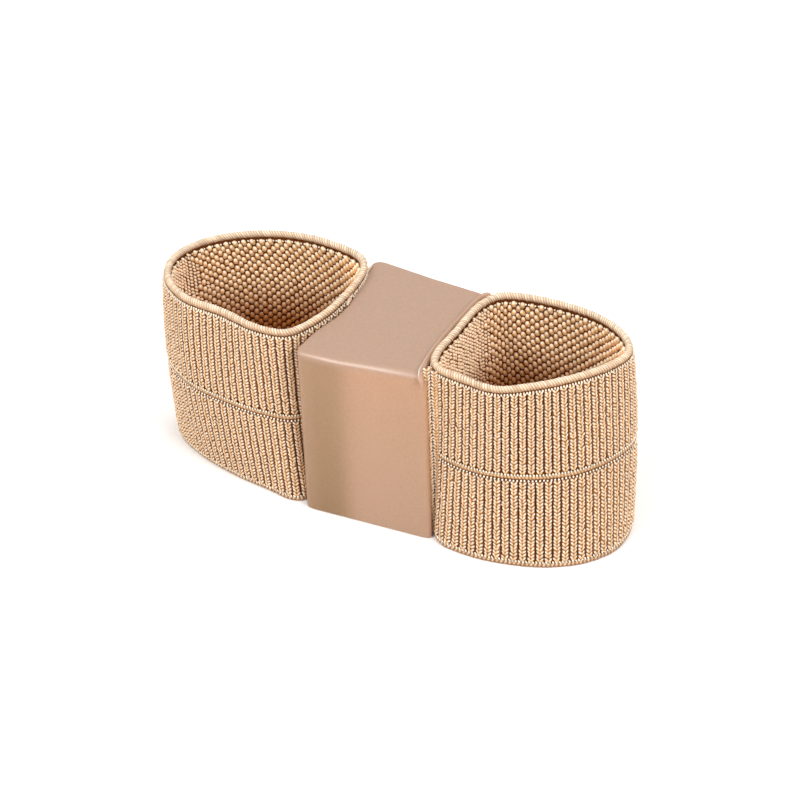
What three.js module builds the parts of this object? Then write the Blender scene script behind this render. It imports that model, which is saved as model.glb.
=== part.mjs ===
// Bunion corrector: two knitted elastic toe loops bonded to the flanks of a silicone spacer block.
// Millimetres, +Z up. The block's underside is centred on the origin, +X runs towards the right-hand loop
// and -Y is the front. Block and loops stand on the plane z = 0.
import * as THREE from "three";
import { mergeVertices } from "three/addons/utils/BufferGeometryUtils.js";

// Driving dimensions
const LOOP_HEIGHT = 35; // width of the elastic, from the floor to the top of the rolled rim
const WALL = 1.7; // thickness of the knitted elastic, ribs and bumps included
const STAND_OFF = 0.2; // how far the ribbed tiers stand out beyond the cords
const RIM_CORD = 1.5; // diameter of the rolled top edge
const WAIST_CORD = 0.9; // diameter of the cord between the two tiers
const HEM_CORD = 1.1; // diameter of the bottom edge cord
const GAP = 0.3; // clearance between neighbouring pieces
const BLOCK_HEIGHT = 33.3;
const BLOCK_EDGE = 0.7; // rounding along the block's top and bottom edges
const BLOCK_CORNER = 1.5; // rounding of the block's four upright corners
const BEAD = 0.6; // diameter of the bonding bead along the right flank's top edge

// Heights of the cords' centre lines
const RIM_LEVEL = LOOP_HEIGHT - RIM_CORD / 2;
const WAIST_LEVEL = 17;
const HEM_LEVEL = HEM_CORD / 2;

// Mesh densities
const STATIONS = 48; // steps round each loop
const CORD_SIDES = 8;
const BAND_ROWS = 2; // steps up each tier
const CORNER_STEPS = 3; // steps round each corner of the block

// Outline of each loop along the outer edge of its cords, seen from above and listed clockwise: one row for
// each bend or dent, with the place of that stretch of wall at the rim, at the waist and at the hem.
const LEFT_OUTLINE = [
  { bend: "flat middle", rimX: -10.7, rimY: 0.8, waistX: -11.0, waistY: 0.6, hemX: -11.1, hemY: 0.4 },
  { bend: "flat front", rimX: -11.8, rimY: -6.0, waistX: -12.3, waistY: -7.2, hemX: -12.5, hemY: -9.4 },
  { bend: "front corner", rimX: -14.8, rimY: -12.0, waistX: -14.6, waistY: -12.0, hemX: -13.9, hemY: -13.6 },
  { bend: "front belly", rimX: -20.6, rimY: -12.8, waistX: -21.0, waistY: -12.9, hemX: -21.4, hemY: -12.9 },
  { bend: "front dent", rimX: -28.2, rimY: -10.9, waistX: -28.6, waistY: -12.1, hemX: -29.0, hemY: -11.4 },
  { bend: "front shoulder", rimX: -36.8, rimY: -9.4, waistX: -36.8, waistY: -10.0, hemX: -37.0, hemY: -8.6 },
  { bend: "nose front", rimX: -42.9, rimY: -4.7, waistX: -43.7, waistY: -4.7, hemX: -43.1, hemY: -4.4 },
  { bend: "nose", rimX: -44.8, rimY: 1.2, waistX: -45.5, waistY: 1.2, hemX: -44.8, hemY: 1.4 },
  { bend: "nose back", rimX: -42.8, rimY: 7.4, waistX: -43.2, waistY: 7.4, hemX: -42.5, hemY: 7.4 },
  { bend: "back shoulder", rimX: -36.2, rimY: 13.4, waistX: -36.3, waistY: 13.5, hemX: -36.0, hemY: 13.0 },
  { bend: "back belly", rimX: -26.0, rimY: 16.6, waistX: -26.0, waistY: 16.5, hemX: -26.0, hemY: 15.8 },
  { bend: "back corner", rimX: -14.2, rimY: 14.5, waistX: -15.2, waistY: 14.7, hemX: -15.2, hemY: 14.2 },
  { bend: "flat back", rimX: -11.4, rimY: 10.8, waistX: -11.7, waistY: 9.8, hemX: -11.7, hemY: 9.4 },
];
const RIGHT_OUTLINE = [
  { bend: "flat middle", rimX: 10.35, rimY: -0.6, waistX: 9.9, waistY: -0.8, hemX: 10.1, hemY: -1.0 },
  { bend: "flat back", rimX: 11.0, rimY: 9.4, waistX: 10.9, waistY: 8.6, hemX: 11.0, hemY: 8.4 },
  { bend: "back corner", rimX: 13.5, rimY: 13.2, waistX: 14.0, waistY: 13.0, hemX: 14.2, hemY: 12.9 },
  { bend: "back belly", rimX: 23.0, rimY: 14.8, waistX: 23.2, waistY: 15.0, hemX: 23.4, hemY: 14.6 },
  { bend: "back shoulder", rimX: 32.6, rimY: 13.3, waistX: 33.0, waistY: 13.4, hemX: 33.2, hemY: 12.7 },
  { bend: "nose back", rimX: 38.6, rimY: 9.3, waistX: 39.6, waistY: 9.2, hemX: 39.5, hemY: 7.8 },
  { bend: "nose", rimX: 40.5, rimY: 5.2, waistX: 41.5, waistY: 4.8, hemX: 42.4, hemY: 1.9 },
  { bend: "nose front", rimX: 38.9, rimY: 0.2, waistX: 40.2, waistY: -0.6, hemX: 42.0, hemY: -4.4 },
  { bend: "front shoulder", rimX: 34.2, rimY: -5.9, waistX: 36.2, waistY: -6.9, hemX: 38.4, hemY: -9.7 },
  { bend: "front slope", rimX: 29.2, rimY: -10.3, waistX: 31.0, waistY: -10.8, hemX: 32.8, hemY: -13.3 },
  { bend: "front belly", rimX: 24.0, rimY: -13.3, waistX: 25.2, waistY: -12.9, hemX: 26.5, hemY: -15.1 },
  { bend: "front middle", rimX: 18.2, rimY: -12.9, waistX: 19.2, waistY: -13.4, hemX: 20.0, hemY: -15.7 },
  { bend: "front corner", rimX: 11.9, rimY: -11.2, waistX: 12.3, waistY: -11.5, hemX: 13.1, hemY: -14.2 },
  { bend: "flat front", rimX: 10.25, rimY: -7.9, waistX: 10.4, waistY: -8.0, hemX: 10.7, hemY: -9.2 },
];

// Plan of the silicone block: its two flanks from the front to the back, each a gap away from the loop beside it.
const FLANKS = [
  { part: "front", leftX: -12.2, leftY: -14.8, rightX: 11.9, rightY: -14.2 },
  { part: "front bend", leftX: -12.0, leftY: -11.0, rightX: 10.5, rightY: -11.0 },
  { part: "front hollow", leftX: -11.5, leftY: -7.0, rightX: 9.6, rightY: -7.4 },
  { part: "hollow", leftX: -10.45, leftY: -3.2, rightX: 9.3, rightY: -3.6 },
  { part: "middle", leftX: -10.1, leftY: 0.8, rightX: 9.3, rightY: 0.4 },
  { part: "back hollow", leftX: -10.1, leftY: 5.0, rightX: 9.6, rightY: 4.6 },
  { part: "back bend", leftX: -10.6, leftY: 10.0, rightX: 10.1, rightY: 9.0 },
  { part: "back", leftX: -11.9, leftY: 15.6, rightX: 10.4, rightY: 13.5 },
];

const elasticColour = new THREE.MeshStandardMaterial({ color: "#dcb184", roughness: 0.85, metalness: 0 });
const rimColour = new THREE.MeshStandardMaterial({ color: "#e6c294", roughness: 0.8, metalness: 0 });
const siliconeColour = new THREE.MeshStandardMaterial({ color: "#cda589", roughness: 0.5, metalness: 0 });

// A loop's wall: point(share, z) runs round it once as share goes from 0 to 1. At each height the place is on the
// parabola through the rim, the waist and the hem.
function loopWall(outline) {
  const levels = [RIM_LEVEL, WAIST_LEVEL, HEM_LEVEL];
  const curves = ["rim", "waist", "hem"].map(
    (level) =>
      new THREE.CatmullRomCurve3(
        outline.map((row) => new THREE.Vector3(row[`${level}X`], row[`${level}Y`], 0)),
        true,
        "centripetal",
      ),
  );
  const weight = (z, own) =>
    levels.reduce((product, level) => (level === own ? product : (product * (z - level)) / (own - level)), 1);
  const point = (share, z) => {
    const along = curves[0].getUtoTmapping(((share % 1) + 1) % 1);
    const place = new THREE.Vector3(0, 0, z);
    curves.forEach((curve, k) => place.addScaledVector(curve.getPoint(along), weight(z, levels[k])));
    return place;
  };
  // The outlines run clockwise, so the way out is to the left of the direction of travel.
  const wayOut = (share, z) => {
    const step = 0.25 / STATIONS;
    const travel = point(share + step, z).sub(point(share - step, z));
    return new THREE.Vector3(-travel.y, travel.x, 0).normalize();
  };
  return { point, wayOut };
}

// A ring: a closed profile of { depth, z } rows, depth counted inwards from the outline, carried round a loop.
function ringGeometry(wall, profile) {
  const positions = [];
  const triangles = [];
  const sides = profile.length;
  for (let station = 0; station < STATIONS; station++) {
    const share = station / STATIONS;
    for (const { depth, z } of profile) {
      const place = wall.point(share, z).addScaledVector(wall.wayOut(share, z), -depth);
      positions.push(place.x, place.y, place.z);
    }
    const here = station * sides;
    const next = ((station + 1) % STATIONS) * sides;
    for (let side = 0; side < sides; side++) {
      const after = (side + 1) % sides;
      triangles.push(here + side, here + after, next + after);
      triangles.push(here + side, next + after, next + side);
    }
  }
  return new THREE.BufferGeometry()
    .setAttribute("position", new THREE.Float32BufferAttribute(positions, 3))
    .setIndex(triangles);
}

// Profile of a knitted tier: up the outer face and down the inner face.
function bandProfile(bottom, top) {
  const levels = Array.from({ length: BAND_ROWS + 1 }, (_, row) => bottom + ((top - bottom) * row) / BAND_ROWS);
  const outer = levels.map((z) => ({ depth: -STAND_OFF, z }));
  const inner = levels.toReversed().map((z) => ({ depth: WALL - STAND_OFF, z }));
  return [...outer, ...inner];
}

// Profile of a round cord whose outer edge is on the outline.
function cordProfile(diameter, centre) {
  const radius = diameter / 2 / Math.cos(Math.PI / CORD_SIDES);
  return Array.from({ length: CORD_SIDES }, (_, side) => {
    const turn = (2 * Math.PI * (side + 0.5)) / CORD_SIDES;
    return { depth: diameter / 2 - radius * Math.cos(turn), z: centre + radius * Math.sin(turn) };
  });
}

function namedMesh(name, geometry, material) {
  const mesh = new THREE.Mesh(geometry, material);
  mesh.name = name;
  return mesh;
}

// One toe loop: hem cord, lower tier, waist cord, upper tier and rolled rim, from the floor up.
function toeLoop(side, wall) {
  const hemTop = HEM_LEVEL + HEM_CORD / 2;
  const waistBottom = WAIST_LEVEL - WAIST_CORD / 2;
  const waistTop = WAIST_LEVEL + WAIST_CORD / 2;
  const rimBottom = RIM_LEVEL - RIM_CORD / 2;
  const pieces = [
    ["hem_cord", cordProfile(HEM_CORD, HEM_LEVEL), rimColour],
    ["lower_band", bandProfile(hemTop + GAP, waistBottom - GAP), elasticColour],
    ["waist_cord", cordProfile(WAIST_CORD, WAIST_LEVEL), rimColour],
    ["upper_band", bandProfile(waistTop + GAP, rimBottom - GAP), elasticColour],
    ["rim_cord", cordProfile(RIM_CORD, RIM_LEVEL), rimColour],
  ];
  const loop = new THREE.Group();
  for (const [piece, profile, material] of pieces) {
    loop.add(namedMesh(`${side}_${piece}`, ringGeometry(wall, profile), material.clone()));
  }
  return loop;
}

// The plan of the block, listed anticlockwise: right flank, back face, left flank and front face, with the four
// corners rounded.
function blockPlan(leftFlank, rightFlank) {
  const sides = [rightFlank, leftFlank.toReversed()];
  return sides.flatMap((side, k) => {
    const before = sides[1 - k].at(-1);
    const after = sides[1 - k][0];
    const round = (from, corner, to) =>
      new THREE.QuadraticBezierCurve(
        corner.clone().add(from.clone().sub(corner).setLength(BLOCK_CORNER)),
        corner,
        corner.clone().add(to.clone().sub(corner).setLength(BLOCK_CORNER)),
      ).getPoints(CORNER_STEPS);
    return [...round(before, side[0], side[2]), ...side.slice(2, -2), ...round(side.at(-3), side.at(-1), after)];
  });
}

// The silicone spacer: the plan carried up to the full height, drawn in along quarter circles at the top and
// bottom edges, with flat faces above and below.
function spacerBlock(leftFlank, rightFlank) {
  const plan = blockPlan(leftFlank, rightFlank);
  const count = plan.length;
  const wayOut = plan.map((_, k) => {
    const travel = plan[(k + 1) % count].clone().sub(plan[(k + count - 1) % count]);
    return new THREE.Vector2(travel.y, -travel.x).normalize();
  });
  const rounding = Array.from({ length: CORNER_STEPS + 1 }, (_, k) => {
    const turn = ((Math.PI / 2) * k) / CORNER_STEPS;
    return { inset: BLOCK_EDGE * (1 - Math.sin(turn)), rise: BLOCK_EDGE * (1 - Math.cos(turn)) };
  });
  const levels = [
    ...rounding.map(({ inset, rise }) => ({ inset, z: rise })),
    ...rounding.toReversed().map(({ inset, rise }) => ({ inset, z: BLOCK_HEIGHT - rise })),
  ];
  const positions = [];
  const triangles = [];
  levels.forEach(({ inset, z }, level) => {
    plan.forEach((place, k) => {
      positions.push(place.x - inset * wayOut[k].x, place.y - inset * wayOut[k].y, z);
      if (level === 0) return;
      const [here, next] = [level * count + k, level * count + ((k + 1) % count)];
      triangles.push(here, here - count, next - count, here, next - count, next);
    });
  });
  const topCentre = positions.length / 3;
  positions.push(0, 0, BLOCK_HEIGHT, 0, 0, 0);
  const topRing = (levels.length - 1) * count;
  plan.forEach((_, k) => {
    const next = (k + 1) % count;
    triangles.push(topCentre, topRing + k, topRing + next, topCentre + 1, next, k);
  });
  const geometry = new THREE.BufferGeometry()
    .setAttribute("position", new THREE.Float32BufferAttribute(positions, 3))
    .setIndex(triangles);
  return namedMesh("gel_block", geometry, siliconeColour);
}

// The bead of silicone glue along the top of the right flank, between the block and the loop.
function bondBead(rightFlank) {
  const height = BLOCK_HEIGHT + GAP + BEAD / 2;
  const path = new THREE.CatmullRomCurve3(
    rightFlank.slice(1).map((place) => new THREE.Vector3(place.x - BEAD / 2, Math.min(place.y, 12.5), height)),
  );
  const section = new THREE.Shape().absarc(0, 0, BEAD / 2, 0, 2 * Math.PI);
  const bead = new THREE.ExtrudeGeometry(section, { extrudePath: path, steps: 24, curveSegments: CORD_SIDES });
  bead.deleteAttribute("normal").deleteAttribute("uv");
  return namedMesh("bond_bead", mergeVertices(bead, 1e-3), siliconeColour.clone());
}

// Flanks in finer steps: a smooth line through the rows of the table.
function flankLine(side) {
  const line = new THREE.SplineCurve(FLANKS.map((row) => new THREE.Vector2(row[`${side}X`], row[`${side}Y`])));
  return line.getPoints(2 * (FLANKS.length - 1));
}

const leftFlank = flankLine("left");
const rightFlank = flankLine("right");

const bunionCorrector = new THREE.Group();
bunionCorrector.add(spacerBlock(leftFlank, rightFlank));
bunionCorrector.add(bondBead(rightFlank));
bunionCorrector.add(toeLoop("left", loopWall(LEFT_OUTLINE)));
bunionCorrector.add(toeLoop("right", loopWall(RIGHT_OUTLINE)));

export default bunionCorrector;
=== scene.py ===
import bpy
import numpy as np
from mathutils import Matrix, Vector


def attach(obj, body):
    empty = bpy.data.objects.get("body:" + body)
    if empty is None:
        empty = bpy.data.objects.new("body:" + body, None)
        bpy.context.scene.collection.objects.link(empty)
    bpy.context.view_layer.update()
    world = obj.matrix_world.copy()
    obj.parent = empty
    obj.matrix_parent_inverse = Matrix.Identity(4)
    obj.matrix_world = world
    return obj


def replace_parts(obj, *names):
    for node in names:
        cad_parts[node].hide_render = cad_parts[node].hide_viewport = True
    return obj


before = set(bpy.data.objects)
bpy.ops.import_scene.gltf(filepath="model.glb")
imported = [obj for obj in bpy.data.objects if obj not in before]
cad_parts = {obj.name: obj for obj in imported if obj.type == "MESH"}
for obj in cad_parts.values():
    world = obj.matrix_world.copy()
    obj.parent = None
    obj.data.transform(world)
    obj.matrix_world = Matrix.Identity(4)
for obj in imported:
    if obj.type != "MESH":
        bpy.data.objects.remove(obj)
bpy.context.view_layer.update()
mm = 0.001
chance = np.random.default_rng(11)
print("frame loaded,", len(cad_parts), "nodes")


# an sRGB hex value as linear RGBA, by the two parts of the sRGB curve
def linear(hexValue):
    channels = np.array([int(hexValue[k : k + 2], 16) for k in (1, 3, 5)]) / 255
    curved = np.where(channels <= 0.04045, channels / 12.92, ((channels + 0.055) / 1.055) ** 2.4)
    return (*curved.tolist(), 1.0)


# adds one node with its settings, its own socket values and the links that come into it
def node(tree, kind, settings=None, values=None, links=None):
    made = tree.nodes.new(kind)
    for name, value in (settings or {}).items():
        setattr(made, name, value)
    for socket, value in (values or {}).items():
        made.inputs[socket].default_value = value
    for socket, source in (links or {}).items():
        tree.links.new(source, made.inputs[socket])
    return made


def newMaterial(name):
    made = bpy.data.materials.new(name)
    made.use_nodes = True
    made.node_tree.nodes.clear()
    return made, made.node_tree


# lays one colour over another by a piece's own attribute; the lower one is a hex value or comes from a node
def laidOver(tree, attribute, lower, upper):
    share = node(tree, "ShaderNodeAttribute", {"attribute_name": attribute})
    values, links = {"B": linear(upper)}, {"Factor": share.outputs["Fac"]}
    if isinstance(lower, str):
        values["A"] = linear(lower)
    else:
        links["A"] = lower
    return node(tree, "ShaderNodeMix", {"data_type": "RGBA"}, values, links).outputs["Result"]


# makes a colour lighter and darker, by a factor round 1 that follows the value as it goes from low to high
def varied(tree, colour, value, low, high, spread):
    ends = {"From Min": low, "From Max": high, "To Min": 1 - spread, "To Max": 1 + spread}
    level = node(tree, "ShaderNodeMapRange", None, ends, {"Value": value})
    links = {0: colour, "Scale": level.outputs["Result"]}
    return node(tree, "ShaderNodeVectorMath", {"operation": "SCALE"}, None, links).outputs["Vector"]


def addShader(tree, values, links=None):
    shader = node(tree, "ShaderNodeBsdfPrincipled", None, values, links)
    node(tree, "ShaderNodeOutputMaterial", None, None, {"Surface": shader.outputs["BSDF"]})


# yarn or thread: its low and high colours mixed by the piece's tone, which carries painted highlights and
# painted shade, made lighter or darker from strand to strand by the spread (on the bumps also by painted
# light), and going over to the deep colour where shade is painted
def threadMaterial(name, look):
    made, tree = newMaterial(name)
    strand = node(tree, "ShaderNodeAttribute", {"attribute_name": "strand"})
    colour = laidOver(tree, "tone", look["low"], look["high"])
    colour = varied(tree, colour, strand.outputs["Fac"], 0.0, 1.0, look["spread"])
    colour = laidOver(tree, "shade", colour, look["deep"])
    sheen = {"Sheen Weight": look["sheen"], "Sheen Roughness": 0.4, "Sheen Tint": linear(look["high"])}
    finish = {"Roughness": look["roughness"], "Specular IOR Level": look["gloss"], **sheen}
    addShader(tree, finish, {"Base Color": colour})
    return made


# polyester covered rubber, knitted in ribs, of smooth filament; a painted highlight at each stitch's outer
# end, and painted shade behind it and at its tip
stitchLook = {
    "low": "#d9a466", "high": "#fff8ea", "deep": "#783202",
    "spread": 0.1, "roughness": 0.4, "gloss": 0.05, "sheen": 0.0,
}
# the ground of the same elastic, seen only down between the ribs and bumps: painted deep brown as shade
groundLook = {
    "low": "#5c2100", "high": "#c48a4c", "deep": "#481700",
    "spread": 0.0, "roughness": 0.9, "gloss": 0.0, "sheen": 0.0,
}
# the inner face's bumps: the same yarn looped over, with a painted highlight on top and painted shade down in
# the loop
bumpLook = {
    "low": "#dcab6c", "high": "#f5e7d2", "deep": "#aa5f14",
    "spread": 0.8, "roughness": 0.5, "gloss": 0.05, "sheen": 0.15,
}
# polyester edging thread rolled round the rims: golden, with painted highlights where its turns cross the
# crown, and painted shade where it turns under and in its grooves
edgeLook = {
    "low": "#b9864f", "high": "#fff6e2", "deep": "#7e4a1a",
    "spread": 0.16, "roughness": 0.4, "gloss": 0.1, "sheen": 0.0,
}
stitchYarn = threadMaterial("knitted polyester yarn", stitchLook)
groundYarn = threadMaterial("elastic ground in shade", groundLook)
bumpYarn = threadMaterial("looped inner yarn", bumpLook)
edgeThread = threadMaterial("wrapped edging thread", edgeLook)


# puts points in millimetres and triangles into a smooth mesh at the origin that rides on the root body
def addPiece(name, points, triangles, material, slot, tones):
    mesh = bpy.data.meshes.new(name)
    mesh.vertices.add(len(points))
    mesh.vertices.foreach_set("co", (points * mm).astype(np.float32).ravel())
    mesh.loops.add(triangles.size)
    mesh.loops.foreach_set("vertex_index", triangles.astype(np.int32).ravel())
    mesh.polygons.add(len(triangles))
    mesh.polygons.foreach_set("loop_start", np.arange(0, triangles.size, 3, dtype=np.int32))
    mesh.polygons.foreach_set("use_smooth", np.ones(len(triangles), bool))
    for label, values in tones.items():
        attribute = mesh.attributes.new(label, "FLOAT", "POINT")
        attribute.data.foreach_set("value", values.astype(np.float32).ravel())
    mesh.update(calc_edges=True)
    mesh.materials.append(material)
    made = bpy.data.objects.new(name, mesh)
    bpy.context.scene.collection.objects.link(made)
    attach(made, "root")
    return made


# sets of three grids of corner numbers, as one list of triangles
def triangleList(corners):
    return np.concatenate([np.stack(k, -1).reshape(-1, 3) for k in corners])


# faces of a grid that closes on itself both ways, along its stations and round its sides
def wrappedFaces(stations, sides):
    here = np.arange(stations * sides).reshape(stations, sides)
    ahead = np.roll(here, -1, 0)
    above = np.roll(here, -1, 1)
    across = np.roll(ahead, -1, 1)
    return triangleList([(here, ahead, above), (ahead, across, above)])


# faces of a stack of rings, closed at each end by a middle point that follows the last ring in the point list
def stackedFaces(rings, sides):
    here = np.arange(rings * sides).reshape(rings, sides)
    ahead = np.roll(here, -1, 1)
    first = np.full(sides, rings * sides)
    walls = [(here[:-1], ahead[:-1], ahead[1:]), (here[:-1], ahead[1:], here[1:])]
    ends = [(first, ahead[0], here[0]), (first + 1, here[-1], ahead[-1])]
    return triangleList(walls + ends)


# several sets of points and faces as one
def joined(parts):
    starts = np.cumsum([0] + [len(points) for points, _ in parts])
    faces = [some + start for (_, some), start in zip(parts, starts)]
    return np.concatenate([points for points, _ in parts]), np.concatenate(faces)


# an ellipsoid of unit half-axes: the sine of the latitude is the place along its axis, the cosine its radius
def unitGrain(rings, sides):
    latitude = (np.linspace(-0.5, 0.5, rings + 2)[1:-1] * np.pi)[:, None]
    turn = np.arange(sides) * 2 * np.pi / sides
    axis = np.sin(latitude) + 0 * turn
    points = np.stack([axis, np.cos(latitude) * np.cos(turn), np.cos(latitude) * np.sin(turn)], -1)
    poles = [[-1, 0, 0], [1, 0, 0]]
    return np.concatenate([points.reshape(-1, 3), poles]), stackedFaces(rings, sides)


loopSettings = {
    "left": {
        "flank": 0.0,  # angle from the loop's middle to the flank that faces the block
        "ribs": 72,
        "firstGap": -13.58,  # between two ribs, counted round from the flank
        "hemDrift": (1.2, 1.91),  # how far the knit is drawn sideways, evenly and by a swing round the loop
        "rimDrift": (0.83, 1.58),
        "letOut": 0.25,  # of the loop on its far side
    },
    "right": {
        "flank": np.pi,
        "ribs": 68,
        "firstGap": 20.67,
        "hemDrift": (-0.19, 1.21),
        "rimDrift": (0.39, 0.39),
        "letOut": -0.15,
    },
}
wallReading = {
    "steps": 2400,  # round each ring
    "soften": 0.4,  # spread of the Gaussian that takes the CAD's facets off
    "outwards": 0.3,  # least cosine between an outer face's way and the ray from the loop's middle
    "levels": [0, 2, 5],  # hem, waist and rim among the heights of the outer faces' corners
    "sameLevel": 0.02,
}


# walks a closed plan at even steps and softens it by a Gaussian
def evenPlan(ring, steps, soften):
    closed = np.append(ring, ring[0])
    arc = np.append(0, np.cumsum(abs(np.diff(closed))))
    walked = np.arange(steps) * arc[-1] / steps
    even = np.interp(walked, arc, closed.real) + 1j * np.interp(walked, arc, closed.imag)
    wave = np.fft.fftfreq(steps, arc[-1] / steps)
    return np.fft.ifft(np.fft.fft(even) * np.exp(-2 * (np.pi * soften * wave) ** 2))


def inOrder(ring):
    return ring[np.argsort(np.angle(ring))]


# the smooth closed wave through a ring of points: their Fourier sum at finer steps
def throughPoints(ring, steps):
    waves = np.fft.fftfreq(len(ring), 1 / len(ring))
    turns = np.arange(steps)[:, None] / steps
    return np.exp(2j * np.pi * turns * waves) @ np.fft.fft(ring) / len(ring)


# way of travel round a closed plan, as the step from the point before to the point after
def travelRound(plan):
    return np.roll(plan, -1, -1) - np.roll(plan, 1, -1)


# triangle corners of a CAD node in millimetres
def cadFaces(name):
    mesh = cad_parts[name].data
    places = np.empty(len(mesh.vertices) * 3)
    mesh.vertices.foreach_get("co", places)
    corners = np.empty(len(mesh.loops), int)
    mesh.loops.foreach_get("vertex_index", corners)
    return places.reshape(-1, 3)[corners].reshape(-1, 3, 3) / mm


# A loop's wall as its CAD bands have it: the outer faces' corners at hem, waist and rim, each ring of them
# walked at even steps from the flank. Plans are complex numbers, x + iy, about the loop's middle.
def readWall(side):
    settings, reading = loopSettings[side], wallReading
    faces = np.concatenate([cadFaces(f"{side}_lower_band"), cadFaces(f"{side}_upper_band")])
    middle = (faces.min((0, 1)) + faces.max((0, 1)))[:2] @ [0.5, 0.5j]
    facing = np.cross(faces[:, 1] - faces[:, 0], faces[:, 2] - faces[:, 0])
    ray = faces.mean(1)[:, :2] @ [1, 1j] - middle
    spread = (facing[:, :2] @ [1, 1j] * ray.conj()).real
    outwards = spread > reading["outwards"] * np.linalg.norm(facing, axis=1) * abs(ray)
    corners = faces[outwards].reshape(-1, 3)
    levels = np.unique(corners[:, 2].round(2))[reading["levels"]]
    rings = []
    for level in levels:
        there = abs(corners[:, 2] - level) < reading["sameLevel"]
        ring = np.unique(corners[there, :2].round(3), axis=0) @ [1, 1j] - middle
        plan = evenPlan(throughPoints(inOrder(ring), reading["steps"]), reading["steps"], reading["soften"])
        start = np.argmin(abs(np.angle(plan * np.exp(-1j * settings["flank"]))))
        rings.append(np.roll(plan, -start))
    rings = np.array(rings)
    length = abs(np.diff(rings[1], append=rings[1, :1])).sum()
    pitch = length / settings["ribs"]
    print(side, "loop is", round(length, 1), "mm round")
    return {
        "side": side,
        "middle": middle,
        "levels": levels,
        "rings": rings,
        "travels": travelRound(rings),
        "length": length,
        "pitch": pitch,
        "firstRib": settings["firstGap"] + pitch / 2,
        "drifts": [settings["hemDrift"], (0.0, 0.0), settings["rimDrift"]],
        **settings,
    }


# Rolls flat cloth into the loop: along the wall, up it and out from its outer face become x, y and z. The
# plan at a height is a parabola through the hem, waist and rim rings, each looked up where the knit's drift
# has taken it.
def onWall(wall, along, z, out):
    along, z, out = np.broadcast_arrays(along, z, out)
    low, waist, high = wall["levels"]
    weights = [
        (z - waist) * (z - high) / ((low - waist) * (low - high)),
        (z - low) * (z - high) / ((waist - low) * (waist - high)),
        (z - low) * (z - waist) / ((high - low) * (high - waist)),
    ]
    swing = np.sin(2 * np.pi * along / wall["length"])
    place, travel = 0, 0
    for weight, ring, way, drift in zip(weights, wall["rings"], wall["travels"], wall["drifts"]):
        spot = np.mod((along + drift[0] + drift[1] * swing) / wall["length"], 1) * len(ring)
        before = spot.astype(int) % len(ring)
        after = (before + 1) % len(ring)
        share = spot - np.floor(spot)
        place = place + weight * (ring[before] + share * (ring[after] - ring[before]))
        travel = travel + weight * (way[before] + share * (way[after] - way[before]))
    out = out + wall["letOut"] * np.sin(np.pi * along / wall["length"]) ** 2
    at = wall["middle"] + place - 1j * out * travel / abs(travel)
    return np.stack([at.real, at.imag, z], -1)


# the strip of knit between the block's front edge and the right loop
stripSettings = {
    "edge": 10.78 - 12.82j,  # where its left edge stands
    "way": 0.886 + 0.463j,  # the way that it runs
    "ribs": [{"at": 0.65, "foot": 0.5, "head": 34.9}, {"at": 1.85, "foot": 0.5, "head": 34.3}],
    "backing": [{"shift": 0.0, "depth": 0.3}, {"shift": 0.6, "depth": 1.0}],  # stitches lying across behind
    "backingStep": 0.3,
}


# flat cloth on the strip: straight in plan and upright
def onStrip(wall, along, z, out):
    along, z, out = np.broadcast_arrays(along, z, out)
    at = stripSettings["edge"] + (along - 1j * out) * stripSettings["way"]
    return np.stack([at.real, at.imag, z], -1)


# many grains at once: each has a middle (along, z, out), a lean in the wall's face, a dip from its top end to
# its lower end, and half-sizes (length, width, thickness); one call gives all their points and faces
def grains(roll, wall, middles, lean, dip, halfSizes, shape):
    unit, faces = shape
    axis, width, thick = (unit * halfSizes).T
    sine, cosine = np.sin(lean)[:, None], np.cos(lean)[:, None]
    along = middles[:, :1] + axis * sine + width * cosine
    z = middles[:, 1:2] - axis * cosine + width * sine
    out = middles[:, 2:] + unit[:, 0] * dip + thick
    points = roll(wall, along, z, out).reshape(-1, 3)
    triangles = (faces + np.arange(len(middles))[:, None, None] * len(unit)).reshape(-1, 3)
    return points, triangles


tierSettings = {
    "upper": {"ground": (17.0, 34.1), "ribs": (17.8, 33.5)},
    "lower": {"ground": (0.45, 17.0), "ribs": (1.3, 16.1)},
}
insideShade = {"most": 0.9, "from": 25.5, "over": 9}


# the inside of a loop is in full light near the rim and in deep shade below its middle
def shadeInside(z):
    return insideShade["most"] * np.clip((insideShade["from"] - z) / insideShade["over"], 0, 1)


groundSettings = {
    "samples": 6,  # to a rib
    "levels": 9,  # up a rib, and down the inner face
    "crest": -0.22,  # rib's body at its middle
    "valley": -0.8,  # ground between the ribs
    "inner": -1.45,  # inner face
    "lip": (0.75, 0.8),  # below the top, where the inner face starts
    "underRim": {"above": 33.2, "inner": -0.95},  # the inner face goes in under the rim
    "roundness": 0.45,  # power of the wave across a rib: the less, the flatter its top
    "ends": (0.12, 0.4),  # levels near a rib's foot and head; it sinks over the second
    "endsForward": 0.3,  # ground beyond the ribs' ends, which has less painted shade too
    # painted shade of the ground beyond the ribs' ends, and the darker painted shade of the inner face
    "endsTone": 0.25,
    "innerTone": 0.12,
}


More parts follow.
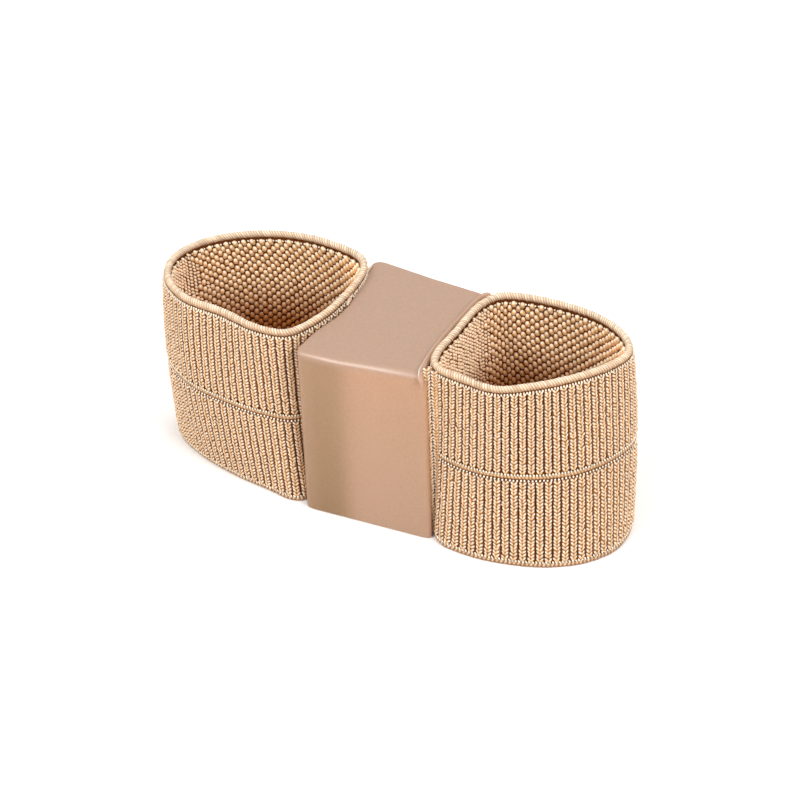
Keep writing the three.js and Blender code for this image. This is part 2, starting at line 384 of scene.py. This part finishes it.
# the ground of a tier: a closed wall whose outer face rises at each rib as a rounded wave
def addGround(wall, tier):
    cloth, pitch = groundSettings, wall["pitch"]
    low, high = tierSettings[tier]["ground"]
    foot, head = tierSettings[tier]["ribs"]
    along = wall["firstRib"] + np.arange(wall["ribs"] * cloth["samples"]) * pitch / cloth["samples"]
    spread = np.linspace(foot, head, cloth["levels"])[1:-1]
    near, far = cloth["ends"]
    up = np.array([low, foot, foot + near, foot + far, *spread, head - far, head - near, head, high])
    wave = np.abs(np.cos(np.pi * (along - wall["firstRib"]) / pitch))[:, None] ** cloth["roundness"]
    ends = np.clip(np.minimum(up - foot, head - up) / far, 0, 1) ** 0.5
    floor = cloth["valley"] + cloth["endsForward"] * (1 - ends)
    outer = floor + (cloth["crest"] - floor) * wave * ends
    lip, below = cloth["lip"]
    down = np.array([high, high - lip, *np.linspace(high - below, low, cloth["levels"])])
    inner = np.where(down > cloth["underRim"]["above"], cloth["underRim"]["inner"], cloth["inner"])
    inner = np.broadcast_to(inner, (len(along), len(down)))
    heights = np.concatenate([up, down])
    points = onWall(wall, along[:, None], heights, np.concatenate([outer, inner], 1))
    # painted shade: dark in the valleys between the ribs and on the inner face, lighter on the crests and
    # beyond the ribs' ends, deeper inside the loop
    outerTone = wave * ends + cloth["endsTone"] * (1 - ends)
    tone = np.concatenate([outerTone, inner * 0 + cloth["innerTone"]], 1)
    shade = np.broadcast_to(np.concatenate([0 * up, shadeInside(down)]), tone.shape)
    tones = {"tone": tone, "strand": np.full(tone.size, 0.5), "shade": shade}
    faces = wrappedFaces(len(along), len(heights))
    name = f"{wall['side']}{tier.capitalize()}Band"
    made = addPiece(name, points.reshape(-1, 3), faces, groundYarn, "ribbed_elastic", tones)
    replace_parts(made, f"{wall['side']}_{tier}_band")
    return made


stitchSettings = {
    "pitch": 0.64,  # stitch to stitch down a rib
    "lean": 44,  # degrees that each arm of a V leans from upright
    "leanSpread": 7,
    "armOffset": 0.27,  # from the rib's middle to the middle of an arm
    "half": (0.475, 0.24, 0.2),  # half length, width and thickness of an arm
    "proud": -0.1,  # of the arms' middles from the wall's outer face
    "capProud": -0.2,  # of the stitch across the rib's foot
    "dip": 0.1,  # how much higher an arm's inner end stands than its middle
    "unevenness": 0.035,
    "tone": ((-1, -0.5, 0.5, 1), (1, 0.62, 0.06, 0)),  # places from an arm's outer end inwards, and tones of its painted highlight
    "behind": (0.5, 0.9),  # painted shade at the middle of its thickness, and how fast it grows backwards
    "tip": (0.65, 1.3),  # where the painted shade of its outer tip starts, and how fast it grows
}


# middles and leans of the V-shaped pairs of stitches down some ribs, and of one stitch lying across each
# rib's foot, which the V's would leave pointed
def ribStitches(column, foot, head):
    rib = stitchSettings
    rows = round((head - foot) / rib["pitch"])
    k, j, arm = (a.ravel() for a in np.meshgrid(column, np.arange(rows), (-1, 1), indexing="ij"))
    z = foot + (j + 0.5) * (head - foot) / rows
    middles = np.stack([k + arm * rib["armOffset"], z, 0 * k + rib["proud"]], -1)
    lean = -arm * np.radians(rib["lean"] + chance.normal(0, rib["leanSpread"], len(k)))
    caps = np.stack([column, 0 * column + foot, 0 * column + rib["capProud"]], -1)
    middles = np.concatenate([middles + chance.normal(0, rib["unevenness"], middles.shape), caps])
    return middles, np.append(lean, 0 * column + np.pi / 2)


# the strip's ribs, with stitches lying across behind them, so that it is not open between its V's
def stripRuns():
    runs, step = [], stripSettings["backingStep"]
    for strip in stripSettings["ribs"]:
        runs.append((onStrip, *ribStitches(np.array([strip["at"]]), strip["foot"], strip["head"])))
        z = np.arange(strip["foot"], strip["head"] - step, step)
        for back in stripSettings["backing"]:
            middles = np.stack([0 * z + strip["at"] + back["shift"], z, 0 * z - back["depth"]], -1)
            runs.append((onStrip, middles, 0 * z + np.pi / 2))
    return runs


# the stitches of a tier: grains in V-shaped pairs down each rib, and on the right the strip's too
def addStitches(wall, tier):
    rib = stitchSettings
    shape = unitGrain(2, 6)
    column = np.arange(wall["ribs"]) * wall["pitch"] + wall["firstRib"]
    runs = [(onWall, *ribStitches(column, *tierSettings[tier]["ribs"]))]
    if (wall["side"], tier) == ("right", "upper"):
        runs += stripRuns()
    parts = []
    for roll, middles, lean in runs:
        parts.append(grains(roll, wall, middles, lean, rib["dip"], rib["half"], shape))
    points, faces = joined(parts)
    count = len(points) // len(shape[0])
    # painted highlight at each arm's outer end, tan to the rib's middle, painted shade behind and at its tip
    axis, _, thick = shape[0].T
    behind = rib["behind"][0] - rib["behind"][1] * thick
    tip = -rib["tip"][1] * axis - rib["tip"][0]
    tones = {
        "tone": np.tile(np.interp(axis, *rib["tone"]), count),
        "strand": np.repeat(chance.random(count), len(axis)),
        "shade": np.tile(np.clip(np.maximum(behind, tip), 0, 1), count),
    }
    name = f"{wall['side']}{tier.capitalize()}Stitches"
    return addPiece(name, points, faces, stitchYarn, "ribbed_elastic", tones)


bumpSettings = {
    "upper": (17.0, 33.4),
    "lower": (0.8, 17.0),
    "columns": 0.9,  # column to column, each half a step up from the last
    "rows": 1.46,  # bump to bump up a column
    "half": (0.66, 0.58, 0.45),
    "leanSpread": 14,
    "proud": -1.42,
    "unevenness": 0.045,
    "slantwise": (0.87, 0.04),  # turn sideways from which a bump's two strands show, and its spread
    "strandHalf": (0.5, 0.34, 0.39),
    "strandStep": 0.36,
    "strandLean": 0.87,
    "level": (0.45, 0.12),  # lightness of the yarn, and how far it differs from bump to bump
    "lit": {"right": 0.6, "left": 0.2},  # painted light: paler where the wall faces sideways to the softboxes
    "paintedHighlights": (-1.7, 1.0),  # painted highlights high on a bump's face, and the fainter one below
    "face": (0.25, 0.9),  # painted highlights at the middle of its thickness, and how fast they grow into the loop
    "paintedShade": (0.35, 0.2, 0.4),  # painted shade at its lower end, at its back and at its edges
    "mostPaintedShade": 0.9,
}


# the bumps of a tier: staggered grains on the inner face, each split into two strands on the side walls
def addBumps(wall, tier):
    bump, length, steps = bumpSettings, wall["length"], wallReading["steps"]
    bottom, top = bump[tier]
    columns = 2 * round(length / bump["columns"] / 2)
    rows = round((top - bottom) / bump["rows"])
    k, j = (a.ravel() for a in np.meshgrid(np.arange(columns), np.arange(rows), indexing="ij"))
    z = bottom + (j + 0.25 + 0.5 * (k % 2)) * ((top - bottom) / rows)
    middles = np.stack([k * length / columns, z, 0 * k + bump["proud"]], -1)
    middles = middles + chance.normal(0, bump["unevenness"], middles.shape)
    lean = np.radians(chance.normal(0, bump["leanSpread"], len(k)))
    travel = wall["travels"][1][(k * steps // columns) % steps]
    sideways = travel.imag / abs(travel)
    lit = np.where(sideways > 0, bump["lit"]["right"], bump["lit"]["left"]) * sideways**2
    # the strand value also carries painted light: paler on the side walls that face the softboxes
    strand = bump["level"][0] + bump["level"][1] * chance.random(len(k)) + lit
    slantwise = abs(sideways) + chance.normal(0, bump["slantwise"][1], len(k)) > bump["slantwise"][0]
    lean = lean + bump["strandLean"] * np.sign(sideways) * slantwise
    groups = [
        (~slantwise, 0.0, bump["half"], unitGrain(3, 6)),
        (slantwise, bump["strandStep"], bump["strandHalf"], unitGrain(2, 6)),
        (slantwise, -bump["strandStep"], bump["strandHalf"], unitGrain(2, 6)),
    ]
    parts, tones = [], []
    for chosen, lift, half, shape in groups:
        some, faces = grains(onWall, wall, middles[chosen] + [0, lift, 0], lean[chosen], 0.0, half, shape)
        parts.append((some, faces))
        # painted highlights on the face that looks into the loop, and painted shade low down, behind and at
        # the edges
        axis, width, thick = shape[0].T
        face = np.clip(bump["face"][0] - bump["face"][1] * thick, 0, 1)
        paintedHighlight = np.where(axis < 0, *bump["paintedHighlights"]) * axis * face
        low, behind, edges = bump["paintedShade"]
        under = np.clip(low * axis + behind * thick + edges * width**2, 0, bump["mostPaintedShade"])
        count = chosen.sum()
        shade = 1 - (1 - np.tile(under, count)) * (1 - shadeInside(some[:, 2]))
        tone = np.tile(np.clip(paintedHighlight, 0, 1), count)
        tones.append(np.stack([tone, np.repeat(strand[chosen], len(axis)), shade]))
    tones = dict(zip(("tone", "strand", "shade"), np.concatenate(tones, 1)))
    name = f"{wall['side']}{tier.capitalize()}Bumps"
    print(name, "in", columns, "columns of", rows)
    return addPiece(name, *joined(parts), bumpYarn, "ribbed_elastic", tones)


# a tier of ribbed elastic: one sheet, in the three pieces above
def addTier(wall, tier):
    ground = addGround(wall, tier)
    stitches = addStitches(wall, tier)
    bumps = addBumps(wall, tier)
    print(wall["side"], tier, "tier,", wall["ribs"], "ribs")


# Heights and depths of the cords and of the stitch rows beside them are counted from the floor and from the
# wall's outer face. The wrap is the length of a turn of thread, drawn coarser than a real one so that it
# shows. The groove is its depth as a share of the radius, the slant how many turns it goes on by round the
# cord, the crown the angle of its painted highlights, from the outside upwards, and the shade the painted
# shade in its grooves.
cordSettings = {
    "rim": {
        "z": 34.34, "out": -0.76, "radius": 0.66, "sides": 14, "wrap": 0.52, "groove": 0.18, "slant": 3,
        "tone": 0.3, "shade": 0.4, "crown": 1.5, "paintedHighlight": 1.0,
        "rows": [
            {"z": 33.6, "out": -0.16, "step": 0.55, "lean": 10, "half": (0.26, 0.18, 0.19), "tone": 0.75},
            {"z": 33.35, "out": -1.5, "step": 0.62, "lean": 0, "half": (0.2, 0.2, 0.2), "tone": 0.7},
        ],
    },
    "waist": {
        "z": 16.92, "out": -0.38, "radius": 0.37, "sides": 10, "wrap": 0.6, "groove": 0.1, "slant": 1,
        "tone": 0.12, "shade": 0.6, "crown": 0.7, "paintedHighlight": 0.4,
        "rows": [
            {"z": 17.42, "out": -0.16, "step": 0.54, "lean": 15, "half": (0.2, 0.16, 0.17), "tone": 1.0},
            {"z": 16.36, "out": -0.16, "step": 0.64, "lean": -15, "half": (0.19, 0.17, 0.17), "tone": 1.0},
        ],
    },
    "hem": {
        "z": 0.46, "out": -0.58, "radius": 0.46, "sides": 12, "wrap": 0.72, "groove": 0.25, "slant": -1,
        "tone": 0.15, "shade": 0.9, "crown": 0.3, "paintedHighlight": 0.75,
        "rows": [
            {"z": 1.06, "out": -0.18, "step": 0.57, "lean": 35, "half": (0.28, 0.15, 0.17), "tone": 0.9},
        ],
    },
}
turnSettings = {
    "stations": 4,  # to a turn of the thread
    "roundness": 0.8,  # power of the wave across a turn
    "unevenness": 0.04,  # share of the radius that turns differ by
    "reach": (1.6, 0.9),  # of the painted highlights from the crown, in radians: inwards, and outwards
    "paintedHighlightPower": 2.5,  # of the wave: the more, the narrower the painted highlight
    "faintest": 0.4,  # painted highlight, as a share of the palest
    "paintedShade": (0.2, 0.15, 0.8),  # painted shade all round, more of it outside, and more below
    "paintedShadeShare": 0.6,
    "mostShade": 0.9,
    "rowUnevenness": 0.02,
    "rowLeanSpread": 5,
}


# A cord round the loop: a circle carried along it, its radius swelling at each turn of the thread as a
# rounded wave whose phase runs along the cord and, by the slant, round it. The turns show as painted
# highlights on the crown, and painted shade darkens the cord where it turns under and in its grooves.
# Stitch grains beside it join the same mesh.
def addCord(wall, part, cord):
    side, length, thread = wall["side"], wall["length"], turnSettings
    turns = round(length / cord["wrap"])
    stations = turns * thread["stations"]
    along = np.arange(stations) * length / stations
    angle = np.arange(cord["sides"]) * 2 * np.pi / cord["sides"]
    phase = along[:, None] * turns / length + cord["slant"] * angle / (2 * np.pi)
    turn = np.floor(phase + 0.5).astype(int) % turns
    wave = np.abs(np.cos(np.pi * phase)) ** thread["roundness"]
    uneven = thread["unevenness"] * chance.normal(0, 1, turns)[turn]
    radius = cord["radius"] * (1 - cord["groove"] * (1 - wave) + uneven)
    z, out = cord["z"] + radius * np.sin(angle), cord["out"] + radius * np.cos(angle)
    points = onWall(wall, along[:, None], z, out).reshape(-1, 3)
    crown = np.exp(-(((angle - cord["crown"]) / np.where(angle > cord["crown"], *thread["reach"])) ** 2))
    strength = thread["faintest"] + (1 - thread["faintest"]) * chance.random(turns)[turn]
    paintedHighlight = cord["paintedHighlight"] * wave ** thread["paintedHighlightPower"] * crown * strength
    tones = [(cord["tone"] + (1 - cord["tone"]) * paintedHighlight).ravel()]
    beside, outside, below = thread["paintedShade"]
    under = np.clip(beside + outside * np.cos(angle) - below * np.sin(angle), 0, thread["mostShade"])
    shade = thread["paintedShadeShare"] * under + cord["shade"] * (1 - wave**2)
    shades = [np.clip(shade, 0, thread["mostShade"]).ravel()]
    strands = [chance.random(turns)[turn].ravel()]
    parts = [(points, wrappedFaces(stations, cord["sides"]))]
    shape = unitGrain(3, 6)
    for row in cord["rows"]:
        count = round(length / row["step"])
        spots = (np.arange(count) + 0.5) * length / count
        middles = np.stack([spots, 0 * spots + row["z"], 0 * spots + row["out"]], -1)
        middles = middles + chance.normal(0, thread["rowUnevenness"], middles.shape)
        lean = np.radians(row["lean"] + chance.normal(0, thread["rowLeanSpread"], count))
        parts.append(grains(onWall, wall, middles, lean, 0.0, row["half"], shape))
        tones.append(np.full(count * len(shape[0]), row["tone"]))
        shades.append(np.zeros(count * len(shape[0])))
        strands.append(np.repeat(chance.random(count), len(shape[0])))
    lists = {"tone": tones, "strand": strands, "shade": shades}
    tones = {label: np.concatenate(values) for label, values in lists.items()}
    name = f"{side}{part.capitalize()}Cord"
    made = addPiece(name, *joined(parts), edgeThread, "edge_thread", tones)
    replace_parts(made, f"{side}_{part}_cord")
    print(side, part, "cord,", turns, "turns of thread")


walls = [readWall("left"), readWall("right")]
for wall in walls:
    addTier(wall, "upper")
    addTier(wall, "lower")
    for part, cord in cordSettings.items():
        addCord(wall, part, cord)


# cast silicone gel, satin from its mould: light goes a little way in, so edges glow and shade stays warm
def siliconeMaterial(name, look):
    made, tree = newMaterial(name)
    # the tone gives the colour and, on the block, its painted shade; over it a painted sheen and a painted
    # glint
    colour = laidOver(tree, "tone", look["low"], look["high"])
    colour = laidOver(tree, "paintedSheen", colour, look["paintedSheen"])
    colour = laidOver(tree, "glint", colour, look["glint"])
    coordinates = node(tree, "ShaderNodeTexCoord")
    # mould grain of about 0.4 mm
    scale = {"Scale": 1 / (0.4 * mm), "Detail": 2.0}
    grain = node(tree, "ShaderNodeTexNoise", None, scale, {"Vector": coordinates.outputs["Object"]})
    colour = varied(tree, colour, grain.outputs["Fac"], 0.3, 0.7, look["mottle"])
    relief = {"Strength": look["grain"], "Distance": 0.02 * mm}
    bump = node(tree, "ShaderNodeBump", None, relief, {"Height": grain.outputs["Fac"]})
    finish = {
        "Roughness": look["roughness"],
        "IOR": 1.41,
        "Subsurface Weight": look["depth"],
        "Subsurface Radius": (1.0, 0.5, 0.3),
        "Subsurface Scale": 2.0 * mm,
    }
    addShader(tree, finish, {"Base Color": colour, "Normal": bump.outputs["Normal"]})
    return made


# the block's gel: skin tones with painted shade on its front, a painted sheen on its top, and a painted glint
# along its front edge
gelLook = {
    "low": "#856847", "high": "#b68d70", "paintedSheen": "#aa8c78", "glint": "#e0cbbe",
    "mottle": 0.05, "grain": 0.6, "roughness": 0.28, "depth": 0.25,
}
# the glue: smooth and wet, with a painted highlight as a bright line of light
beadLook = {
    "low": "#9c7256", "high": "#d8b89e", "paintedSheen": "#b98a68", "glint": "#fff4ea",
    "mottle": 0.0, "grain": 0.0, "roughness": 0.15, "depth": 0.25,
}
gelSilicone = siliconeMaterial("cast silicone gel", gelLook)
beadSilicone = siliconeMaterial("bonding silicone", beadLook)

blockSettings = {
    "height": 33.3,
    "upright": 16,  # the CAD block's corners within this of its half height give its plan
    "halfWidth": 12,
    "sides": 360,
    "rings": {"flat": 12, "edge": 9, "sides": 40},
    "soften": 0.2,
    "softenIn": (4, 0.3),  # steps that a ring is softened by, for each such share that it is scaled down
    "letOut": 0.24,  # of the flanks, to meet the knit
    "backLeft": {"y": 10.0, "spread": 5.5, "letOut": 1.1},  # more of it at the back of the left flank
    "backOut": 0.5,  # of the back face at its left end
    "flankEdge": 0.35,  # rounding of the flanks' edges and of the base's
    "plainEdge": 0.4,  # of the top's back edge
    "frontEdge": (0.6, 1.7),  # of the top's front edge, at the left and at the right
    "edgeEnds": (-12, 10),
    "lean": {"by": 1.1, "x": -4, "over": 12, "deep": 14},  # of the front, back at its top and to the right
    "draft": 0.016,  # share by which the top is narrower than the base
    # where the strip of knit presses in
    "dent": {"x": 6, "over": 3, "y": -11.4, "depth": 0.7, "spread": 1.8, "rise": 6.0},
}
# the block's painted shade, painted sheen and painted glint: places in millimetres, each with the length
# that it fades over, and shares
blockPaint = {
    "front": (-13.2, 0.5),  # y of the front face
    "shaded": (-3.3, 0.9),  # x to which the front's left part has painted shade
    "corner": (-10, 0.7),  # x to which its left corner has less painted shade again
    "cornerShare": 0.3,
    "shadedShare": (0.56, 0.12),  # of the painted shade of that part, and more at its foot
    # painted shade darker towards the foot, over all the front, and towards the right
    "footShare": 0.18,
    "frontShare": 0.06,
    "right": (2, 6),  # x from which the front's painted shade grows again
    "rightShare": 0.1,
    "paintedSheen": (1.4, 1.0),  # depth below the top from which it has a painted sheen
    # a painted reflection of the floor on the front's lower right part
    "paintedFloorReflection": 0.6,
    "glint": (0.34, 0.17),  # depth of the line of light along the top's front edge, and its width
    "glintShare": 0.42,
    "edge": (-10, 3),  # y in front of which the top's edge has that line
    "glintEnds": {"right": (10, 6), "left": (-12, 5), "least": 0.3},  # x to which it fades
}


# goes from 1 to 0 about a place, by the logistic curve
def fallOff(value, place):
    return 1 / (1 + np.exp((value - place[0]) / place[1]))


# The block: rings from the middle of the underside, round its lower edge, up the sides, round the top edge
# and in to the middle of the top. Its plan is the CAD node's, let out a little to meet the knit; each ring is
# that plan drawn in by an inset, softened more the further in it is, and scaled towards the origin.
def addBlock():
    block = blockSettings
    height, dent, lean, left = block["height"], block["dent"], block["lean"], block["backLeft"]
    corners = cadFaces("gel_block").reshape(-1, 3)
    upright = abs(corners[:, 2] - height / 2) < block["upright"]
    plan = inOrder(np.unique(corners[upright, :2].round(3), axis=0) @ [1, 1j])
    plan = evenPlan(plan, block["sides"], block["soften"])
    wayOut = -1j * travelRound(plan) / abs(travelRound(plan))
    more = left["letOut"] * np.exp(-(((plan.imag - left["y"]) / left["spread"]) ** 2)) * (wayOut.real < 0)
    back = block["backOut"] * np.clip(wayOut.imag, 0, 1) * np.clip(-plan.real / block["halfWidth"], 0, 1)
    plan = plan + (block["letOut"] + more) * wayOut.real + 1j * back
    across = wayOut.imag**2
    base = block["flankEdge"] + 0 * across
    frontEdge = np.interp(plan.real, block["edgeEnds"], block["frontEdge"])
    front = np.where(plan.imag < 0, frontEdge, block["plainEdge"])
    top = block["flankEdge"] + (front - block["flankEdge"]) * across
    turn = np.linspace(0, np.pi / 2, block["rings"]["edge"])[:, None]
    flat = np.linspace(0.08, 0.96, block["rings"]["flat"])
    sides = np.linspace(0, 1, block["rings"]["sides"])[1:-1, None]
    scale = np.concatenate([flat, np.ones(len(turn) * 2 + len(sides)), flat[::-1]])[:, None]
    lead = np.ones((len(flat), 1))
    drawn, rise = 1 - np.sin(turn), 1 - np.cos(turn)
    inset = np.concatenate([lead * base, drawn * base, 0 * sides * base, drawn[::-1] * top, lead * top])
    upper = [height - rise[::-1] * top, height + 0 * lead * top]
    z = np.concatenate([0 * lead * base, rise * base, base + sides * (height - base - top), *upper])
    wave = np.fft.fftfreq(len(plan))
    steps, share = block["softenIn"]
    soften = np.exp(-2 * (np.pi * steps * wave * (1 - scale) / share) ** 2)
    rings = np.fft.ifft(np.fft.fft(plan - inset * wayOut, axis=1) * soften, axis=1) * scale
    x, y = rings.real * (1 - block["draft"] * z / height), rings.imag
    hollow = np.exp(-(((y - dent["y"]) / dent["spread"]) ** 2) - ((height - z) / dent["rise"]) ** 2)
    x = x - dent["depth"] * hollow * scale**6 * np.clip((x - dent["x"]) / dent["over"], 0, 1)
    leaning = np.clip((x - lean["x"]) / lean["over"], 0, 1.2) * (z / height) ** 4
    y = y + lean["by"] * leaning * np.clip(-y / lean["deep"], 0, 1) ** 2
    points = np.stack([x, y, z], -1).reshape(-1, 3)
    points = np.concatenate([points, [[0, 0, 0], [0, 0, height]]])
    faces = stackedFaces(len(scale), len(plan))
    made = addPiece("gelBlock", points, faces, gelSilicone, "silicone", blockTones(points))
    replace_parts(made, "gel_block")
    print("gel block,", len(scale), "rings")


# painted shade on the block's front, a painted sheen on its top and a painted glint on the edge between them
def blockTones(points):
    x, y, z = points.T
    paint, height = blockPaint, blockSettings["height"]
    front = fallOff(y, paint["front"])
    depth = 1 - z / height
    shaded = (1 - paint["cornerShare"] * fallOff(x, paint["corner"])) * fallOff(x, paint["shaded"])
    right = paint["rightShare"] * np.clip((x - paint["right"][0]) / paint["right"][1], 0, 1)
    dark = shaded * (paint["shadedShare"][0] + paint["shadedShare"][1] * depth)
    shade = front * (dark + paint["footShare"] * depth + paint["frontShare"] + right)
    # painted sheen on the top, and a painted reflection of the floor low on the front's right part
    paintedSheen = np.clip((z - height + paint["paintedSheen"][0]) / paint["paintedSheen"][1], 0, 1)
    paintedSheen = paintedSheen + paint["paintedFloorReflection"] * front * np.clip(depth, 0, 1) * (1 - shaded)
    edge = np.exp(-(((height - z - paint["glint"][0]) / paint["glint"][1]) ** 2))
    edge = edge * np.clip((paint["edge"][0] - y) / paint["edge"][1], 0, 1)
    ends = paint["glintEnds"]
    toRight = np.clip((ends["right"][0] - x) / ends["right"][1], ends["least"], 1)
    toLeft = np.clip((x - ends["left"][0]) / ends["left"][1], ends["least"], 1)
    glint = paint["glintShare"] * edge * toRight * toLeft
    return {"tone": 1 - shade, "paintedSheen": paintedSheen, "glint": glint}


# path of the bonding bead: along the top of the right flank and over the front corner
beadPath = [
    {"x": 11.3, "y": 12.9, "z": 33.1, "radius": 0.45},
    {"x": 10.75, "y": 13.0, "z": 33.35, "radius": 0.6},
    {"x": 10.2, "y": 12.5, "z": 33.4, "radius": 0.55},
    {"x": 9.75, "y": 11.0, "z": 33.4, "radius": 0.5},
    {"x": 9.6, "y": 8.2, "z": 33.4, "radius": 0.5},
    {"x": 9.5, "y": 5.3, "z": 33.4, "radius": 0.5},
    {"x": 9.25, "y": 1.0, "z": 33.4, "radius": 0.5},
    {"x": 9.3, "y": -5.1, "z": 33.4, "radius": 0.52},
    {"x": 9.85, "y": -10.6, "z": 33.4, "radius": 0.6},
    {"x": 10.3, "y": -12.4, "z": 33.2, "radius": 0.6},
    {"x": 10.75, "y": -13.4, "z": 32.7, "radius": 0.5},
    {"x": 11.3, "y": -14.0, "z": 31.8, "radius": 0.2},
]
# path of the pale line of glue where the left loop's rim meets the block, from the back corner to its knot
leftBondPath = [
    {"x": -11.72, "y": 13.49, "z": 33.60, "radius": 0.16},
    {"x": -11.66, "y": 11.61, "z": 33.60, "radius": 0.24},
    {"x": -11.56, "y": 9.08, "z": 33.60, "radius": 0.2},
    {"x": -11.32, "y": 6.11, "z": 33.60, "radius": 0.24},
    {"x": -10.98, "y": 3.72, "z": 33.60, "radius": 0.26},
    {"x": -10.46, "y": 1.93, "z": 33.60, "radius": 0.36},
    {"x": -10.06, "y": 0.77, "z": 33.60, "radius": 0.2},
]
beadSettings = {
    "rings": 160,
    "sides": 24,
    "across": (0.8, -0.6, 0.25),  # a way that no part of either path runs
    "light": (-0.75, -0.25, 0.6),  # way to the light that the bead's painted highlight faces
    "glintPower": 16,
}


# a circle carried along a smooth line through the table's rows: cubic between rows, with the slope at each
# row half the way from the row before to the row after
def addBead(name, table, tone):
    bead = beadSettings
    rows = np.array([[row["x"], row["y"], row["z"], row["radius"]] for row in table])
    slopes = np.gradient(rows, axis=0)
    at = np.linspace(0, len(rows) - 1, bead["rings"])
    k = np.minimum(at.astype(int), len(rows) - 2)
    t = (at - k)[:, None]
    line = (
        (2 * t**3 - 3 * t**2 + 1) * rows[k]
        + (t**3 - 2 * t**2 + t) * slopes[k]
        + (3 * t**2 - 2 * t**3) * rows[k + 1]
        + (t**3 - t**2) * slopes[k + 1]
    )
    path, radius = line[:, :3], line[:, 3:]
    travel = np.gradient(path, axis=0)
    travel = travel / np.linalg.norm(travel, axis=1, keepdims=True)
    sideways = np.cross(travel, bead["across"])
    sideways = sideways / np.linalg.norm(sideways, axis=1, keepdims=True)
    upwards = np.cross(travel, sideways)
    angle = np.arange(bead["sides"]) * 2 * np.pi / bead["sides"]
    ring = np.cos(angle)[:, None] * sideways[:, None] + np.sin(angle)[:, None] * upwards[:, None]
    points = (path[:, None] + radius[:, None] * ring).reshape(-1, 3)
    points = np.concatenate([points, path[:1], path[-1:]])
    # a painted highlight on the side of the bead turned to that light
    glint = np.append(np.clip(ring @ np.array(bead["light"]), 0, 1) ** bead["glintPower"], [0, 0])
    tones = {"tone": np.full(len(points), tone), "glint": glint}
    faces = stackedFaces(len(path), len(angle))
    print(name, len(path), "rings")
    return addPiece(name, points, faces, beadSilicone, "bonding_silicone", tones)


addBlock()
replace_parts(addBead("bondBead", beadPath, 0.3), "bond_bead")
addBead("leftBond", leftBondPath, 1.0)

studio = {
    "floor": "#fbfaf8",
    "floorHalf": 3,  # metres
    "world": 0.68,
    "aim": (0, 0, 0.017),
    "lamps": [
        {"name": "front softbox", "place": (-0.36, -0.56, 0.7), "size": 0.45, "watts": 4.6},
        {"name": "right softbox", "place": (0.75, -0.3, 0.65), "size": 0.4, "watts": 5.0},
        {"name": "top softbox", "place": (0.1, 0.3, 0.9), "size": 0.4, "watts": 2.0},
    ],
}


# white air all round, a sheet of matt white paper under the part, and three square softboxes aimed at it
def addStudio():
    world = bpy.data.worlds.new("studio air")
    world.use_nodes = True
    air = world.node_tree.nodes["Background"]
    air.inputs["Color"].default_value = (1, 1, 1, 1)
    air.inputs["Strength"].default_value = studio["world"]
    bpy.context.scene.world = world
    paper, tree = newMaterial("matt white paper")
    addShader(tree, {"Base Color": linear(studio["floor"]), "Roughness": 0.9})
    half = studio["floorHalf"]
    mesh = bpy.data.meshes.new("paperFloor")
    corners = [(-half, -half, 0), (half, -half, 0), (half, half, 0), (-half, half, 0)]
    mesh.from_pydata(corners, [], [(0, 1, 2, 3)])
    mesh.materials.append(paper)
    floor = bpy.data.objects.new("paperFloor", mesh)
    bpy.context.scene.collection.objects.link(floor)
    for lamp in studio["lamps"]:
        light = bpy.data.lights.new(lamp["name"], "AREA")
        light.shape = "SQUARE"
        light.size = lamp["size"]
        light.energy = lamp["watts"]
        made = bpy.data.objects.new(lamp["name"], light)
        made.location = lamp["place"]
        made.rotation_euler = (Vector(studio["aim"]) - made.location).to_track_quat("-Z", "Y").to_euler()
        bpy.context.scene.collection.objects.link(made)


cameraSettings = {
    "turn": 27.57,  # degrees round from the front, towards the right-hand loop
    "height": 36.0,  # degrees above the floor
    "roll": -2.57,
    "distance": 451.2,
    "target": (-0.34, 0.0, 16.76),
    "lens": 117.0,
    "sensor": 36.0,
    "nearest": 10.0,
}


# the camera looks at the target from its turn and height, then rolls about the line of sight
def addCamera():
    turn, height, roll = (np.radians(cameraSettings[k]) for k in ("turn", "height", "roll"))
    back = np.array([np.sin(turn) * np.cos(height), -np.cos(turn) * np.cos(height), np.sin(height)])
    right = np.array([np.cos(turn), np.sin(turn), 0.0])
    up = np.cross(back, right)
    rolledRight = right * np.cos(roll) + up * np.sin(roll)
    rolledUp = up * np.cos(roll) - right * np.sin(roll)
    axes = np.stack([rolledRight, rolledUp, back], 1)
    eye = (np.array(cameraSettings["target"]) + back * cameraSettings["distance"]) * mm
    data = bpy.data.cameras.new("camera")
    data.lens = cameraSettings["lens"]
    data.sensor_width = cameraSettings["sensor"]
    data.clip_start = cameraSettings["nearest"] * mm
    camera = bpy.data.objects.new("camera", data)
    camera.matrix_world = Matrix.Translation(eye) @ Matrix(axes.tolist()).to_4x4()
    bpy.context.scene.collection.objects.link(camera)
    bpy.context.scene.camera = camera


addStudio()
addCamera()
bpy.context.scene.view_settings.view_transform = "Standard"
print("studio and camera placed")
